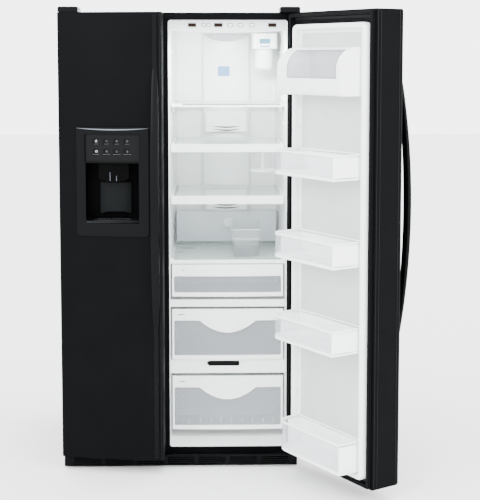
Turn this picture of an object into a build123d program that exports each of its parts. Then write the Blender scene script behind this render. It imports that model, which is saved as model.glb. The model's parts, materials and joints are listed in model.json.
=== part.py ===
"""Side by side refrigerator: foamed case, two cabins, two doors, drawers, shelves and cooling parts.

Millimetres. The doors face -Y, +X is to the right of someone facing them, +Z is up and the floor is
Z = 0. It is drawn with the case front in the plane Y = 0 and the case's middle at X = 0, and written with
the foot of the right front leveling leg at the origin. The freezer door is shut and the other stands open.
"""

import math
import os

from build123d import *

os.makedirs("parts", exist_ok=True)

# ---------------------------------------------------------------- case
CASE_W = 908
CASE_TOP = 1742
CASE_BOTTOM = 28
CASE_DEPTH = 700
SHEET = 1.5
HALF = CASE_W / 2
INNER_HALF = HALF - SHEET
FACE_DEPTH = 8

# ---------------------------------------------------------------- cabins (clear inside sizes)
FRESH_X = (-44, 408)
FREEZER_X = (-408, -84)
CABIN_Z = (62, 1714)
CABIN_BACK = 610
LINER = 2
STEP_Y = 420
STEP_Z = 300
ENGINE_TOP = STEP_Z - 38
ENGINE_FRONT = STEP_Y + 30

# ---------------------------------------------------------------- doors, drawn shut
DOOR_Z = (54, 1740)
DOOR_BACK = -14
FACE_RADIUS = 1680
FACE_FRONT = -134
FREEZER_DOOR_X = (-452, -62)
FRESH_DOOR_X = (-58, 452)
HINGE_X = 438
HINGE_Y = -35
PIN_R = 5
PIN_GAP = 0.06
DOOR_OPEN = 122
FRESH_HINGE = Axis((HINGE_X, HINGE_Y, 0), (0, 0, 1))

# ---------------------------------------------------------------- shelves and drawers
SHELF_FRONT = 150
SHELF_BACK = 566
SHELF_X = (-40, 404)
DRAWER_FRONT = 140
DRAWER_X = (-38, 402)
GLASS = 4
TOWER_X = (84, 278)
TOWER_Z = (840, 1672)
TRACKS_AT = (-24, 388)
TRACK_Z = (830, 1640)
PANEL_Z = (1672, 1714)
FILTER_AT = (338, 500)
RING_AT = (324, 260, 1120)
RING_R = 46
EGG_X = (200, 316)
KNOB_AT = (190, 868)

# the shelves: (top of the glass, front edge, height of the front trim)
SHELVES = ((1390, 200, 12), (1232, SHELF_FRONT, 30), (1028, SHELF_FRONT, 32))
# the covers over the three drawers: (top, bottom of the front band, back of the pan below)
COVER_SHELF = 778
COVERS = ((COVER_SHELF, 758, 520), (614, 585, 520), (371, 316, 412))
# the drawers: (name, bottom, top, depth of the finger lip, back of the pan)
DRAWERS = (("deli", 629, 756, 0, 516), ("crisper", 375, 578, 46, 516), ("lower", 90, 307, 46, 408))
DRAWER_MIDDLE = (DRAWER_X[0] + DRAWER_X[1]) / 2
BAND_H = 46
TRIM_H = 16

# ---------------------------------------------------------------- freezer cabin
FREEZER_SHELVES = (1260, 1060, 860)
BASKETS = (330, 620)
BUCKET_X = (-400, -96)
AUGER_Z = 1345
EVAP_FAN_AT = (-246, 566, 800)

# ---------------------------------------------------------------- door linings, seals and bins
DIKE = 22
DIKE_REACH = 16
DIKE_Z = (84, 1694)
FRESH_DIKE_X = (-30, 396)
FREEZER_DIKE_X = (-396, -100)
SEAL = 14
SEAL_FRONT = -1
WALL = 2.5
BIN_BACK = DOOR_BACK + 3.3
BIN_X = (FRESH_DIKE_X[0] + DIKE + 1, FRESH_DIKE_X[1] - DIKE - 1)
FREEZER_BIN_X = (FREEZER_DIKE_X[0] + DIKE + 1, FREEZER_DIKE_X[1] - DIKE - 1)
BINS_Z = ((1150, 1240), (845, 935), (540, 630))
BOTTOM_BIN_Z = (112, 224)
FREEZER_BINS_Z = ((130, 220), (400, 490), (680, 770), (1400, 1490))
DAIRY_Z = (1440, 1610)

# ---------------------------------------------------------------- handles and dispenser
HANDLE_Z = (560, 1530)
HANDLE_OUT = 58
HANDLE_GAP = 40
STRIP_W = 20
BAR_W = 34
BEZEL_X = (-383, -113)
BEZEL_Z = (909, 1316)
POCKET_X = (-352, -146)
POCKET_Z = (955, 1290)
PANEL_LOW = 1186
PADDLE_TOP = 1104
SPOUTS_X = (-269, -226)

# ---------------------------------------------------------------- base and machine room
RAIL_Z = (14, CASE_BOTTOM)
LEG_AT = (404, 27)
ROLLER_R = 22
ROLLER_Y = 650
GRILLE_Y = (-50, -38)
GRILLE_Z = (6, 46)
COIL_X = (40, 200)
FAN_AT = (-60, 570, 120)
INLET_AT = (360, 90)
INLET_R = 5.55
CORD_AT = (-400, 90)
CORD_R = 9
COVER_TOP = CASE_TOP + 20


def block(x, y, z, mode=Mode.ADD):
    """A straight block between low and high values along each axis."""
    centre = ((x[0] + x[1]) / 2, (y[0] + y[1]) / 2, (z[0] + z[1]) / 2)
    with Locations(centre):
        Box(x[1] - x[0], y[1] - y[0], z[1] - z[0], mode=mode)


def rod(centre, radius, length, direction, mode=Mode.ADD):
    """A round rod about its centre, along X, Y or Z."""
    turn = {"X": (0, 90, 0), "Y": (90, 0, 0), "Z": (0, 0, 0)}[direction]
    with Locations(Location(centre, turn)):
        Cylinder(radius, length, mode=mode)


def soften(piece, axis, radius):
    """Round every straight edge that runs along an axis."""
    fillet(piece.edges().filter_by(axis), radius)


def save(piece, name, turn=0):
    """Swing the fresh food door's pieces open, stand the right front leg on the origin, label and write."""
    part = piece.part.rotate(FRESH_HINGE, turn) if turn else piece.part
    part = part.translate((-LEG_AT[0], -LEG_AT[1], 0))
    part.label = name
    export_step(part, f"parts/{name}.step")


def face_y(x, proud=0):
    """Where the arch of the door fronts lies at x, proud millimetres out of it."""
    radius = FACE_RADIUS + proud
    return FACE_FRONT + FACE_RADIUS - math.sqrt(radius**2 - x**2)


def arch_band(x, z, back, proud=0):
    """A panel with a straight back at Y = back and the arch of the doors as its front."""
    middle = (x[0] + x[1]) / 2
    with BuildSketch(Plane.XY.offset(z[0])) as outline:
        with BuildLine():
            Polyline((x[0], face_y(x[0], proud)), (x[0], back), (x[1], back), (x[1], face_y(x[1], proud)))
            ThreePointArc(
                (x[1], face_y(x[1], proud)),
                (middle, face_y(middle, proud)),
                (x[0], face_y(x[0], proud)),
            )
        make_face()
    extrude(outline.sketch, amount=z[1] - z[0])


# ================================================================ case
with BuildPart() as case_shell:
    block((-HALF, HALF), (0, CASE_DEPTH), (CASE_BOTTOM, CASE_TOP))
    fillet(case_shell.edges().filter_by(Axis.Y).group_by(Axis.Z)[-1], 3)
    inside_z = (CASE_BOTTOM - 1, CASE_TOP - SHEET)
    block((-INNER_HALF, INNER_HALF), (-1, CASE_DEPTH + 1), inside_z, Mode.SUBTRACT)
save(case_shell, "case_shell")

with BuildPart() as back_panel:
    block((-INNER_HALF, INNER_HALF), (CASE_DEPTH - SHEET, CASE_DEPTH), (ENGINE_TOP, CASE_TOP - SHEET))
    for rib_x in (-300, 0, 300):
        block((rib_x - 6, rib_x + 6), (CASE_DEPTH, CASE_DEPTH + 2), (ENGINE_TOP + 60, CASE_TOP - 60))
save(back_panel, "back_panel")

FOAM_BACK = CASE_DEPTH - SHEET
LINER_LEFT = FREEZER_X[0] - LINER
LINER_RIGHT = FRESH_X[1] + LINER
JOINT = 0.4
with BuildPart() as insulation_panels:
    for side in (-1, 1):
        wall_x = sorted((side * (LINER_RIGHT + JOINT), side * INNER_HALF))
        block(wall_x, (FACE_DEPTH, FOAM_BACK), (ENGINE_TOP + JOINT, CASE_TOP - SHEET))
        block(wall_x, (FACE_DEPTH, ENGINE_FRONT), (CASE_BOTTOM, ENGINE_TOP))
    across = (LINER_LEFT, LINER_RIGHT)
    liner_back = CABIN_BACK + LINER
    block(across, (FACE_DEPTH, FOAM_BACK), (CABIN_Z[1] + LINER, CASE_TOP - SHEET))
    block(across, (FACE_DEPTH, ENGINE_FRONT), (CASE_BOTTOM, CABIN_Z[0] - LINER))
    block(across, (liner_back, FOAM_BACK), (ENGINE_TOP, CABIN_Z[1] + LINER - JOINT))
    block(across, (STEP_Y + LINER, ENGINE_FRONT), (CABIN_Z[0] - LINER + JOINT, ENGINE_TOP - JOINT))
    block(across, (STEP_Y + LINER, liner_back - JOINT), (ENGINE_TOP, STEP_Z - LINER))
    mullion_x = (FREEZER_X[1] + LINER, FRESH_X[0] - LINER)
    upper_z = (STEP_Z - LINER + JOINT, CABIN_Z[1] + LINER - JOINT)
    block(mullion_x, (FACE_DEPTH, liner_back - JOINT), upper_z)
    block(mullion_x, (FACE_DEPTH, STEP_Y + LINER - JOINT), (CABIN_Z[0] - LINER + JOINT, STEP_Z - LINER))
save(insulation_panels, "insulation_panels")


def cabin(x):
    """A moulded cabin: an open box with a step in its floor over the machine room."""
    outer_x = (x[0] - LINER, x[1] + LINER)
    back = CABIN_BACK + LINER
    block(outer_x, (FACE_DEPTH, back), (STEP_Z - LINER, CABIN_Z[1] + LINER))
    block(outer_x, (FACE_DEPTH, STEP_Y + LINER), (CABIN_Z[0] - LINER, STEP_Z - LINER))
    block(x, (0, CABIN_BACK), (STEP_Z, CABIN_Z[1]), Mode.SUBTRACT)
    block(x, (0, STEP_Y), (CABIN_Z[0], STEP_Z), Mode.SUBTRACT)


with BuildPart() as fresh_liner:
    cabin(FRESH_X)
save(fresh_liner, "fresh_liner")

with BuildPart() as freezer_liner:
    cabin(FREEZER_X)
save(freezer_liner, "freezer_liner")

with BuildPart() as front_frame:
    block((-INNER_HALF, INNER_HALF), (0, FACE_DEPTH), (CASE_BOTTOM + 6, CASE_TOP - SHEET))
    for cabin_x in (FRESH_X, FREEZER_X):
        with BuildSketch(Plane.XZ.offset(1)):
            with Locations(((cabin_x[0] + cabin_x[1]) / 2, (CABIN_Z[0] + CABIN_Z[1]) / 2)):
                RectangleRounded(cabin_x[1] - cabin_x[0], CABIN_Z[1] - CABIN_Z[0], 10)
        extrude(amount=-FACE_DEPTH - 2, mode=Mode.SUBTRACT)
save(front_frame, "front_frame")

with BuildPart() as base_frame:
    for side in (-1, 1):
        block(sorted((side * 424, side * 444)), (12, 690), RAIL_Z)
    block((-444, 444), (12, 42), (20, CASE_BOTTOM))
    block((-444, 444), (ENGINE_FRONT, ENGINE_FRONT + 20), RAIL_Z)
    block((-380, 380), (ENGINE_FRONT, 690), (CASE_BOTTOM - 3, CASE_BOTTOM))
save(base_frame, "base_frame")

with BuildPart() as leveling_legs:
    for leg_x in (-LEG_AT[0], LEG_AT[0]):
        rod((leg_x, LEG_AT[1], 4), 17, 8, "Z")
        rod((leg_x, LEG_AT[1], 14), 5, 12, "Z")
save(leveling_legs, "leveling_legs")

with BuildPart() as rear_rollers:
    for side in (-1, 1):
        rod((side * 402, ROLLER_Y, ROLLER_R), ROLLER_R, 18, "X")
        rod((side * 402, ROLLER_Y, ROLLER_R), 3, 42, "X")
save(rear_rollers, "rear_rollers")

with BuildPart() as base_grille:
    block((-448, 448), GRILLE_Y, GRILLE_Z)
    fillet(base_grille.edges().filter_by(Axis.Z), 4)
    for side in (-1, 1):
        block(sorted((side * 436, side * 446)), (GRILLE_Y[1], 12), (16, 27))
    slots = [(120 * column, GRILLE_Y[0] + 6, 14 + 8 * row) for column in range(-3, 4) for row in range(4)]
    with Locations(slots):
        Box(104, 30, 4, mode=Mode.SUBTRACT)
save(base_grille, "base_grille")

# ================================================================ machine room
with BuildPart() as compressor:
    with BuildSketch(Plane.XY.offset(46)):
        with Locations((-260, 570)):
            Ellipse(95, 72)
    extrude(amount=150)
    fillet(compressor.edges().group_by(Axis.Z)[-1], 40)
    fillet(compressor.edges().group_by(Axis.Z)[0], 14)
    block((-360, -160), (530, 610), (40, 46))
    for foot_x in (-345, -175):
        for foot_y in (540, 600):
            rod((foot_x, foot_y, 34), 8, 12, "Z")
save(compressor, "compressor")

with BuildPart() as condenser_coil:
    middle = (COIL_X[0] + COIL_X[1]) / 2
    runs = [(500 + 40 * column, 60 + 40 * row) for column in range(4) for row in range(4)]
    with Locations([Location((middle, run_y, run_z), (0, 90, 0)) for run_y, run_z in runs]):
        Cylinder(4, COIL_X[1] - COIL_X[0])
    with Locations([(plate_x, 560, 110) for plate_x in range(COIL_X[0], COIL_X[1] + 1, 20)]):
        Box(1, 144, 163)
save(condenser_coil, "condenser_coil")

with BuildPart() as condenser_fan:
    rod(FAN_AT, 16, 24, "X")
    for turn in range(0, 360, 72):
        with BuildSketch(Plane(origin=FAN_AT, x_dir=(0, 1, 0), z_dir=(1, 0, 0)).rotated((0, 0, turn))):
            with Locations((42, 0)):
                Ellipse(34, 15)
        extrude(amount=2, both=True)
save(condenser_fan, "condenser_fan")

with BuildPart() as drain_pan:
    block((-120, 20), (ENGINE_FRONT + 24, 682), (29, 44))
    block((-117, 17), (ENGINE_FRONT + 27, 679), (31, 45), Mode.SUBTRACT)
save(drain_pan, "drain_pan")

with BuildPart() as machine_cover:
    block((-INNER_HALF + 1, INNER_HALF - 1), (CASE_DEPTH - 3, CASE_DEPTH), (CASE_BOTTOM + 4, ENGINE_TOP - 1))
    with Locations((-30, CASE_DEPTH, 150)):
        with Locations([(60 * column, 0, 20 * row) for column in range(-5, 6) for row in range(-4, 4)]):
            Box(44, 20, 7, mode=Mode.SUBTRACT)
    rod((INLET_AT[0], CASE_DEPTH, INLET_AT[1]), 16, 20, "Y", Mode.SUBTRACT)
    rod((CORD_AT[0], CASE_DEPTH, CORD_AT[1]), CORD_R, 20, "Y", Mode.SUBTRACT)
save(machine_cover, "machine_cover")

with BuildPart() as water_valve:
    block((340, 380), (640, 690), (70, 110))
    rod((INLET_AT[0], 700, INLET_AT[1]), INLET_R, 20, "Y")
    rod((INLET_AT[0], 646, 124), 12, 28, "Z")
save(water_valve, "water_valve")

# ================================================================ hinges
with BuildPart() as door_hinges:
    for side in (-1, 1):
        block(sorted((side * 392, side * 449)), (HINGE_Y - 14, 36), (CASE_TOP, CASE_TOP + 4))
        rod((side * HINGE_X, HINGE_Y, CASE_TOP - 6), PIN_R, 12, "Z")
        block(sorted((side * 424, side * 449)), (HINGE_Y - 14, 0), (46.5, 50.5))
        block(sorted((side * 424, side * 434)), (-3, 0), (34, 46.5))
        rod((side * HINGE_X, HINGE_Y, 56.5), PIN_R, 12, "Z")
save(door_hinges, "door_hinges")

with BuildPart() as hinge_covers:
    for side in (-1, 1):
        block(sorted((side * 376, side * 452)), (HINGE_Y - 25, 44), (CASE_TOP, COVER_TOP))
    fillet(hinge_covers.edges().group_by(Axis.Z)[-1], 6)
    fillet(hinge_covers.edges().filter_by(Axis.Z), 5)
    for side in (-1, 1):
        cover_x = sorted((side * 379, side * 449.5))
        block(cover_x, (HINGE_Y - 21, 41), (CASE_TOP - 1, COVER_TOP - 3), Mode.SUBTRACT)
save(hinge_covers, "hinge_covers")

# ================================================================ freezer cabin
with BuildPart() as evaporator_coil:
    runs = [(580 - 24 * column, 420 + 36 * row) for column in range(2) for row in range(8)]
    with Locations([Location((-246, run_y, run_z), (0, 90, 0)) for run_y, run_z in runs]):
        Cylinder(4, 270)
    with Locations([(plate_x, 568, 545) for plate_x in range(-366, -125, 16)]):
        Box(0.8, 46, 290)
save(evaporator_coil, "evaporator_coil")

with BuildPart() as evaporator_fan:
    rod(EVAP_FAN_AT, 14, 22, "Y")
    for turn in range(0, 360, 90):
        with BuildSketch(Plane(origin=EVAP_FAN_AT, x_dir=(1, 0, 0), z_dir=(0, -1, 0)).rotated((0, turn, 0))):
            with Locations((34, 0)):
                Ellipse(27, 12)
        extrude(amount=2, both=True)
save(evaporator_fan, "evaporator_fan")

with BuildPart() as ice_maker:
    block((-398, -250), (300, 560), (1560, 1680))
    block((-394, -254), (304, 556), (1590, 1681), Mode.SUBTRACT)
    block((-250, -200), (320, 540), (1570, 1670))
save(ice_maker, "ice_maker")

with BuildPart() as ice_bucket:
    block(BUCKET_X, (140, 560), (1300, 1500))
    fillet(ice_bucket.edges().filter_by(Axis.Z), 12)
    block((BUCKET_X[0] + 3, BUCKET_X[1] - 3), (143, 557), (1303, 1501), Mode.SUBTRACT)
save(ice_bucket, "ice_bucket")

with BuildPart() as ice_auger:
    rod((-248, 350, AUGER_Z), 6, 380, "Y")
    for fin_y in range(180, 521, 34):
        rod((-248, fin_y, AUGER_Z), 30, 4, "Y")
save(ice_auger, "ice_auger")

with BuildPart() as freezer_shelves:
    for shelf_z in FREEZER_SHELVES:
        for wire_x in range(-400, -91, 28):
            rod((wire_x, 350, shelf_z), 2.5, 380, "Y")
        for bar_y in (163, 350, 537):
            rod((-246, bar_y, shelf_z - 4), 3, 320, "X")
save(freezer_shelves, "freezer_shelves")

with BuildPart() as freezer_baskets:
    for floor_z in BASKETS:
        block((-402, -90), (140, 530), (floor_z, floor_z + 150))
        block((-399, -93), (143, 527), (floor_z + 3, floor_z + 151), Mode.SUBTRACT)
save(freezer_baskets, "freezer_baskets")

# ================================================================ fresh food cabin
with BuildPart() as air_tower:
    with BuildSketch(Plane.XY.offset(TOWER_Z[0])):
        with BuildLine():
            Polyline((TOWER_X[0], 585), (TOWER_X[0], 610), (TOWER_X[1], 610), (TOWER_X[1], 585))
            ThreePointArc((TOWER_X[1], 585), (181, 570), (TOWER_X[0], 585))
        make_face()
    extrude(amount=TOWER_Z[1] - TOWER_Z[0])
    for vent_z in (905, 1255):
        with Locations((160, 570, vent_z)):
            Box(110, 30, 7, mode=Mode.SUBTRACT)
save(air_tower, "air_tower")

with BuildPart() as control_panel:
    with BuildSketch(Plane.XZ.offset(-40)):
        with BuildLine():
            Polyline((FRESH_X[0], PANEL_Z[0] + 8), (FRESH_X[0], PANEL_Z[1]), (FRESH_X[1], PANEL_Z[1]))
            Line((FRESH_X[1], PANEL_Z[1]), (FRESH_X[1], PANEL_Z[0] + 8))
            ThreePointArc((FRESH_X[1], PANEL_Z[0] + 8), (182, PANEL_Z[0]), (FRESH_X[0], PANEL_Z[0] + 8))
        make_face()
    extrude(amount=-260)
save(control_panel, "control_panel")

with BuildPart() as filter_housing:
    block((288, 392), (430, 570), (1610, 1672))
    fillet(filter_housing.edges().filter_by(Axis.Z), 14)
save(filter_housing, "filter_housing")

with BuildPart() as water_filter:
    rod((*FILTER_AT, 1566), 38, 88, "Z")
    fillet(water_filter.edges().group_by(Axis.Z)[0], 16)
    block((FILTER_AT[0] - 26, FILTER_AT[0] + 26), (FILTER_AT[1] - 4, FILTER_AT[1] + 4), (1516, 1530))
save(water_filter, "water_filter")

with BuildPart() as shelf_tracks:
    for track_x in TRACKS_AT:
        block((track_x - 7, track_x + 7), (CABIN_BACK - 6, CABIN_BACK), TRACK_Z)
        for notch_z in range(TRACK_Z[0] + 30, TRACK_Z[1] - 20, 40):
            with Locations((track_x, CABIN_BACK - 6, notch_z)):
                Box(4, 8, 16, mode=Mode.SUBTRACT)
save(shelf_tracks, "shelf_tracks")

with BuildPart() as shelf_frames:
    for top, front, trim in SHELVES:
        block(SHELF_X, (front, SHELF_BACK), (top - GLASS - 8, top))
        block(SHELF_X, (front, front + 10), (top - trim, top))
        hole_x = (SHELF_X[0] + 18, SHELF_X[1] - 18)
        block(hole_x, (front + 14, SHELF_BACK - 16), (top - 40, top + 1), Mode.SUBTRACT)
        seat_x = (SHELF_X[0] + 8, SHELF_X[1] - 8)
        block(seat_x, (front + 10, SHELF_BACK - 8), (top - GLASS, top + 1), Mode.SUBTRACT)
        for side_x in (SHELF_X[0], SHELF_X[1] - 6):
            block((side_x, side_x + 6), (front + 60, SHELF_BACK), (top - 34, top - GLASS - 8))
        for hook_x in TRACKS_AT:
            block((hook_x - 2, hook_x + 2), (SHELF_BACK - 4, CABIN_BACK - 6), (top - 26, top - GLASS))
save(shelf_frames, "shelf_frames")

with BuildPart() as shelf_glasses:
    glass_x = (SHELF_X[0] + 8.5, SHELF_X[1] - 8.5)
    for top, front, trim in SHELVES:
        block(glass_x, (front + 10.5, SHELF_BACK - 8.5), (top - GLASS, top - 0.2))
    block(glass_x, (SHELF_FRONT + 10.5, 560), (COVER_SHELF - GLASS, COVER_SHELF - 0.2))
save(shelf_glasses, "shelf_glasses")

with BuildPart() as drawer_covers:
    for top, bottom, pan_back in COVERS:
        back = pan_back + 6
        block(FRESH_X, (SHELF_FRONT, SHELF_FRONT + 10), (bottom, top))
        block(FRESH_X, (SHELF_FRONT, back), (top - GLASS - 6, top - GLASS))
        block(FRESH_X, (back - 6, back), (top - GLASS - 6, top))
    block((-44, -36), (160, 526), (COVER_SHELF - GLASS, COVER_SHELF))
    block((400, 408), (160, 526), (COVER_SHELF - GLASS, COVER_SHELF))
    block((-40, 404), (160, 550), (COVER_SHELF - GLASS, COVER_SHELF + 1), Mode.SUBTRACT)
    block((95, 245), (SHELF_FRONT - 1, SHELF_FRONT + 4), (352, 362), Mode.SUBTRACT)
save(drawer_covers, "drawer_covers")

with BuildPart() as humidity_slider:
    block((100, 128), (SHELF_FRONT - 4, SHELF_FRONT + 3.5), (353, 361))
save(humidity_slider, "humidity_slider")

with BuildPart() as bottle_ring:
    with Locations(RING_AT):
        Torus(RING_R, 4)
    for side in (-1, 1):
        rod((RING_AT[0], RING_AT[1] + side * RING_R, RING_AT[2] + 40), 3, 72, "Z")
save(bottle_ring, "bottle_ring")

with BuildPart() as egg_tray:
    block(EGG_X, (200, 480), (COVER_SHELF, COVER_SHELF + 110))
    fillet(egg_tray.edges().filter_by(Axis.Z), 8)
    block((EGG_X[0] + 2, EGG_X[1] - 2), (202, 478), (COVER_SHELF + 2, COVER_SHELF + 111), Mode.SUBTRACT)
save(egg_tray, "egg_tray")

with BuildPart() as temp_knob:
    rod((KNOB_AT[0], 562, KNOB_AT[1]), 21, 14, "Y")
    block((KNOB_AT[0] - 3, KNOB_AT[0] + 3), (549, 556), (KNOB_AT[1] - 18, KNOB_AT[1] + 18))
save(temp_knob, "temp_knob")

# ---------------------------------------------------------------- drawers
for name, bottom, top, lip, pan_back in DRAWERS:
    with BuildPart() as pan:
        block((DRAWER_X[0] + 4, DRAWER_X[1] - 4), (DRAWER_FRONT + 6, pan_back), (bottom, top - 8))
        fillet(pan.edges().filter_by(Axis.Z), 10)
        inner_x = (DRAWER_X[0] + 4 + WALL, DRAWER_X[1] - 4 - WALL)
        inner_y = (DRAWER_FRONT + 6 + WALL, pan_back - WALL)
        block(inner_x, inner_y, (bottom + WALL, top), Mode.SUBTRACT)
    save(pan, f"{name}_drawer_pan")

    with BuildPart() as front:
        with BuildSketch(Plane.XY.offset(bottom)):
            with BuildLine():
                Polyline(
                    (DRAWER_X[0], DRAWER_FRONT),
                    (DRAWER_X[0], DRAWER_FRONT + 6),
                    (DRAWER_X[1], DRAWER_FRONT + 6),
                    (DRAWER_X[1], DRAWER_FRONT),
                )
                ThreePointArc(
                    (DRAWER_X[1], DRAWER_FRONT),
                    (DRAWER_MIDDLE, DRAWER_FRONT - 8),
                    (DRAWER_X[0], DRAWER_FRONT),
                )
            make_face()
        extrude(amount=top - bottom)
        window_z = (bottom + TRIM_H, top - BAND_H)
        window_x = (DRAWER_X[0] + 8, DRAWER_X[1] - 8)
        with BuildSketch(Plane.XZ.offset(-DRAWER_FRONT + 30)):
            with Locations((DRAWER_MIDDLE, (window_z[0] + window_z[1]) / 2)):
                RectangleRounded(window_x[1] - window_x[0], window_z[1] - window_z[0], 6)
            if lip:
                left = (DRAWER_MIDDLE - 108, window_z[1] + 1)
                right = (DRAWER_MIDDLE + 108, window_z[1] + 1)
                with BuildLine():
                    Line(left, right)
                    ThreePointArc(right, (DRAWER_MIDDLE, window_z[1] - lip), left)
                make_face(mode=Mode.SUBTRACT)
        extrude(amount=-60, mode=Mode.SUBTRACT)
    save(front, f"{name}_drawer_front")

# ================================================================ doors
def door_edges(panel):
    """Soft vertical corners on the arched side of a door."""
    corners = panel.edges().filter_by(Axis.Z).group_by(Axis.Y)
    return corners[0] + corners[1]


with BuildPart() as freezer_door_panel:
    arch_band(FREEZER_DOOR_X, DOOR_Z, DOOR_BACK)
    fillet(door_edges(freezer_door_panel), 7)
    for pin_z in DOOR_Z:
        rod((-HINGE_X, HINGE_Y, pin_z), PIN_R + PIN_GAP, 30, "Z", Mode.SUBTRACT)
    block(POCKET_X, (-150, -10), (POCKET_Z[0], PANEL_LOW), Mode.SUBTRACT)
    block(POCKET_X, (-150, -90), (PANEL_LOW, POCKET_Z[1]), Mode.SUBTRACT)
save(freezer_door_panel, "freezer_door_panel")

with BuildPart() as fresh_door_panel:
    arch_band(FRESH_DOOR_X, DOOR_Z, DOOR_BACK)
    fillet(door_edges(fresh_door_panel), 7)
    for pin_z in DOOR_Z:
        rod((HINGE_X, HINGE_Y, pin_z), PIN_R + PIN_GAP, 30, "Z", Mode.SUBTRACT)
save(fresh_door_panel, "fresh_door_panel", DOOR_OPEN)


def door_lining(x):
    """A white door lining: a thin back sheet with a raised rim that shelves hook on to."""
    with BuildSketch(Plane.XY.offset(DIKE_Z[0])) as plan:
        with Locations(((x[0] + x[1]) / 2, (DOOR_BACK + DIKE_REACH) / 2)):
            RectangleRounded(x[1] - x[0], DIKE_REACH - DOOR_BACK, 4)
    extrude(plan.sketch, amount=DIKE_Z[1] - DIKE_Z[0])
    inner_z = (DIKE_Z[0] + DIKE, DIKE_Z[1] - DIKE)
    block((x[0] + DIKE, x[1] - DIKE), (DOOR_BACK + 3, DIKE_REACH + 1), inner_z, Mode.SUBTRACT)


with BuildPart() as freezer_door_liner:
    door_lining(FREEZER_DIKE_X)
save(freezer_door_liner, "freezer_door_liner")

with BuildPart() as fresh_door_liner:
    door_lining(FRESH_DIKE_X)
save(fresh_door_liner, "fresh_door_liner", DOOR_OPEN)


def seal(x):
    """A magnetic seal all round the back of a door."""
    outer_z = (DOOR_Z[0] + 3, DOOR_Z[1] - 5)
    block(x, (DOOR_BACK, SEAL_FRONT), outer_z)
    inner_z = (outer_z[0] + SEAL, outer_z[1] - SEAL)
    block((x[0] + SEAL, x[1] - SEAL), (DOOR_BACK - 1, 1), inner_z, Mode.SUBTRACT)


with BuildPart() as freezer_door_gasket:
    seal((-440, -70))
save(freezer_door_gasket, "freezer_door_gasket")

with BuildPart() as fresh_door_gasket:
    seal((-50, 440))
save(fresh_door_gasket, "fresh_door_gasket", DOOR_OPEN)

# ---------------------------------------------------------------- bow handles
def handle(centre_x):
    """A full height strip with a long bow standing out of it."""
    face = face_y(centre_x + BAR_W / 2) - 0.05
    arch_band((centre_x - STRIP_W / 2, centre_x + STRIP_W / 2), (DOOR_Z[0] + 8, DOOR_Z[1] - 8), face, 5)
    middle_z = (HANDLE_Z[0] + HANDLE_Z[1]) / 2
    with BuildSketch(Plane.YZ.offset(centre_x - BAR_W / 2)) as bow:
        with BuildLine():
            ThreePointArc((face, HANDLE_Z[0]), (face - HANDLE_OUT, middle_z), (face, HANDLE_Z[1]))
            Line((face, HANDLE_Z[1]), (face, HANDLE_Z[1] - 50))
            ThreePointArc((face, HANDLE_Z[1] - 50), (face - HANDLE_GAP, middle_z), (face, HANDLE_Z[0] + 50))
            Line((face, HANDLE_Z[0] + 50), (face, HANDLE_Z[0]))
        make_face()
    extrude(bow.sketch, amount=BAR_W)


with BuildPart() as freezer_door_handle:
    handle(-89)
save(freezer_door_handle, "freezer_door_handle")

with BuildPart() as fresh_door_handle:
    handle(-31)
save(fresh_door_handle, "fresh_door_handle", DOOR_OPEN)

# ---------------------------------------------------------------- dispenser in the freezer door
with BuildPart() as dispenser_housing:
    arch_band(BEZEL_X, BEZEL_Z, -60, 7)
    soften(dispenser_housing, Axis.Y, 16)
    with BuildSketch(Plane.XY.offset(BEZEL_Z[0] - 5)):
        with BuildLine():
            Polyline((-400, face_y(-400)), (-400, -20), (-90, -20), (-90, face_y(-90)))
            ThreePointArc((-90, face_y(-90)), (-245, face_y(-245)), (-400, face_y(-400)))
        make_face()
    extrude(amount=BEZEL_Z[1] - BEZEL_Z[0] + 10, mode=Mode.SUBTRACT)
    arch_band(POCKET_X, (POCKET_Z[0], PANEL_LOW), -14.5, 6)
    mouth_x = (POCKET_X[0] + 3, POCKET_X[1] - 3)
    block(mouth_x, (-150, -18), (POCKET_Z[0] + 3, PANEL_LOW - 3), Mode.SUBTRACT)
    block(POCKET_X, (-150, -88), (PANEL_LOW, POCKET_Z[1]), Mode.SUBTRACT)
    block((-300, -190), (-92, -20), (1130, PANEL_LOW - 3))
    for spout_x in SPOUTS_X:
        rod((spout_x, -62, 1120), 13, 24, "Z")
save(dispenser_housing, "dispenser_housing")

with BuildPart() as dispenser_panel:
    arch_band((POCKET_X[0] + 1, POCKET_X[1] - 1), (PANEL_LOW + 0.5, POCKET_Z[1] - 1), -90.5, -1)
save(dispenser_panel, "dispenser_panel")

with BuildPart() as dispenser_paddle:
    block((-298, -192), (-40, -36), (992, PADDLE_TOP))
    rod((-245, -38, PADDLE_TOP), 3, 106, "X")
save(dispenser_paddle, "dispenser_paddle")

with BuildPart() as drip_tray:
    block((POCKET_X[0] + 4, POCKET_X[1] - 4), (-106, -19), (POCKET_Z[0] + 3, POCKET_Z[0] + 11))
    for slot_x in range(-330, -159, 17):
        with Locations((slot_x, -62, POCKET_Z[0] + 11)):
            Box(7, 66, 8, mode=Mode.SUBTRACT)
save(drip_tray, "drip_tray")


def tub_outline(x, y, corner, side):
    """A door bin seen from above: square on its handle side, rounded towards the hinge (side +1 or -1)."""
    far, near = (x[0], x[1]) if side > 0 else (x[1], x[0])
    bend = near - side * corner
    Polyline((near, y[1] - corner), (near, y[0]), (far, y[0]), (far, y[1]), (bend, y[1]))
    TangentArc((bend, y[1]), (near, y[1] - corner), tangent=(side, 0))


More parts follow.
